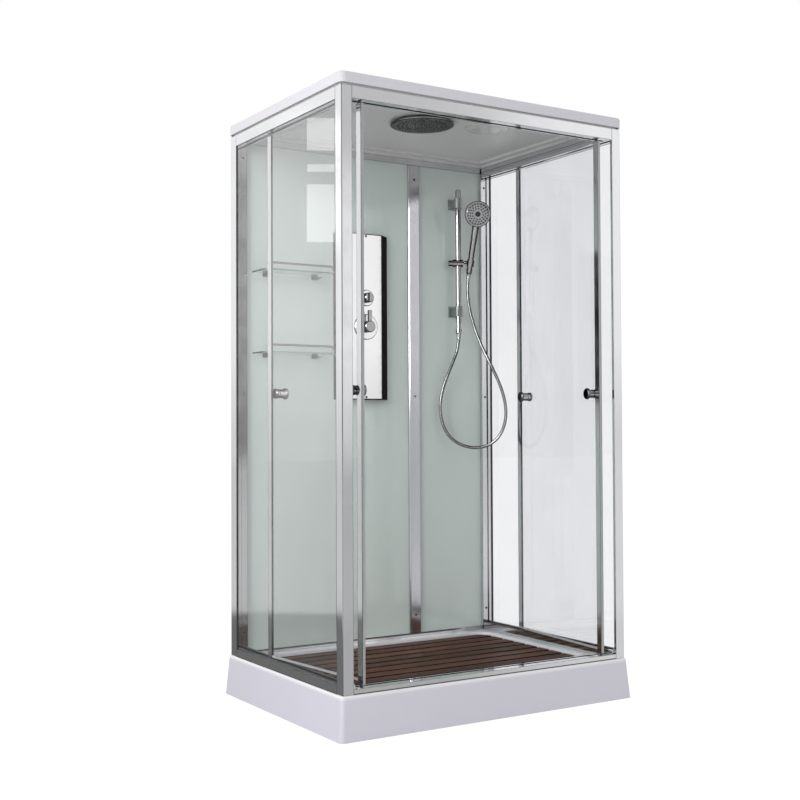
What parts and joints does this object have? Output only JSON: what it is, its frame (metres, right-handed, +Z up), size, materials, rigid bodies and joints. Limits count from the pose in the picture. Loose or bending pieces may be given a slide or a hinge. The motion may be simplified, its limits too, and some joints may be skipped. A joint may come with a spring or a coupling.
{
  "type": "shower cabin",
  "caption": "Rectangular shower cabin with raised tray, wooden deck, glass walls, swing-slide doors, mixer column, rain head and hand shower.",
  "frame": {"origin": "middle of the tray's underside, on the floor", "axes": "+Z up, +X to the right along the open front, +Y towards the back wall; the front faces -Y"},
  "size_m": [1.228, 0.896, 2.15],
  "materials": {
    "acrylic": "gloss",
    "black_plastic": "matte",
    "wood": "oiled",
    "aluminium": "bright",
    "clear_glass": "clear",
    "panel_glass": "back-painted",
    "shelf_glass": "clear",
    "chrome": "polished",
    "chromed_plastic": "chromed",
    "spray_plastic": "matte",
    "hose": "bright",
    "roof_plastic": "gloss",
    "lamp": "frosted",
    "column_shell": "gloss",
    "column_face": "bright",
    "seal": "translucent",
    "nylon": "matte"
  },
  "bodies": {
    "cabin": {"tray": "acrylic", "tray_feet": "black_plastic", "waste": "black_plastic", "deck_slats": "wood", "deck_battens": "wood", "post_front_left": "aluminium", "post_front_right": "aluminium", "post_back_left": "aluminium", "post_back_right": "aluminium", "rail_top_left": "aluminium", "rail_top_right": "aluminium", "rail_bottom_left": "aluminium", "rail_bottom_right": "aluminium", "rail_top_front": "aluminium", "sill_front": "aluminium", "rail_top_back": "aluminium", "rail_bottom_back": "aluminium", "wall_joint": "aluminium", "pane_left": "clear_glass", "pane_right": "clear_glass", "wall_panel_left": "panel_glass", "wall_panel_right": "panel_glass", "shelf_plates": "shelf_glass", "screws": "chrome", "waste_cover": "chrome", "shelf_rails": "chrome", "shelf_brackets": "chrome", "valve_rings": "chrome", "inlet_tails": "chrome", "riser": "chrome", "riser_brackets": "chrome", "riser_nut": "chrome", "rain_head": "chrome", "hose": "hose", "roof_cover": "roof_plastic", "ceiling": "roof_plastic", "ceiling_lamp": "lamp", "column_body": "column_shell", "column_plate": "column_face"},
    "slider": {"slider": "chrome"},
    "holder": {"holder": "chromed_plastic"},
    "hand_shower": {"hand_shower": "chromed_plastic", "hand_spray": "spray_plastic", "hand_nut": "chrome"},
    "mixer_lever": {"mixer_lever": "chrome"},
    "diverter_knob": {"diverter_knob": "chrome"},
    "corner_left": {"corner_pin_left": "chrome"},
    "door_left": {"door_pane_left": "clear_glass", "door_lead_left": "aluminium", "door_trail_left": "aluminium", "door_seals_left": "seal", "door_knobs_left": "chrome", "door_guides_left": "nylon"},
    "corner_right": {"corner_pin_right": "chrome"},
    "door_right": {"door_pane_right": "clear_glass", "door_lead_right": "aluminium", "door_trail_right": "aluminium", "door_seals_right": "seal", "door_knobs_right": "chrome", "door_guides_right": "nylon"}
  },
  "joints": [
    {"name": "slider_height", "type": "slide", "parent": "cabin", "child": "slider", "axis": [0, 0, 1], "range_m": [-0.16, 0.15], "deforming": ["hose"]},
    {"name": "holder_tilt", "type": "hinge", "parent": "slider", "child": "holder", "pos_m": [0.4444, 0.3235, 1.686], "axis": [0.848, -0.5299, 0], "range_deg": [-15, 25], "deforming": ["hose"]},
    {"name": "hand_shower_swivel", "type": "hinge", "parent": "holder", "child": "hand_shower", "pos_m": [0.4444, 0.3235, 1.686], "axis": [0.0089, -0.2484, 0.9686], "range_deg": [-35, 35], "deforming": ["hose"]},
    {"name": "mixer_turn", "type": "hinge", "parent": "cabin", "child": "mixer_lever", "pos_m": [-0.04, 0.35, 1.402], "axis": [0, -1, 0], "range_deg": [-50, 50]},
    {"name": "diverter_turn", "type": "hinge", "parent": "cabin", "child": "diverter_knob", "pos_m": [-0.04, 0.35, 1.518], "axis": [0, -1, 0], "range_deg": [0, 90]},
    {"name": "corner_left_turn", "type": "hinge", "parent": "cabin", "child": "corner_left", "pos_m": [-0.564, -0.396, 2.1], "axis": [0, 0, -1], "range_deg": [0, 84.22]},
    {"name": "door_left_turn", "type": "hinge", "parent": "corner_left", "child": "door_left", "pos_m": [-0.53651, -0.12439, 1.1], "axis": [0, 0, 1], "range_deg": [0, 168.44]},
    {"name": "corner_right_turn", "type": "hinge", "parent": "cabin", "child": "corner_right", "pos_m": [0.564, -0.396, 2.1], "axis": [0, 0, 1], "range_deg": [0, 84.22]},
    {"name": "door_right_turn", "type": "hinge", "parent": "corner_right", "child": "door_right", "pos_m": [0.53651, -0.12439, 1.1], "axis": [0, 0, -1], "range_deg": [0, 168.44]}
  ],
  "couplings": [
    {"joint": "door_left_turn", "follows": "corner_left_turn", "ratio": 2},
    {"joint": "door_right_turn", "follows": "corner_right_turn", "ratio": 2}
  ]
}
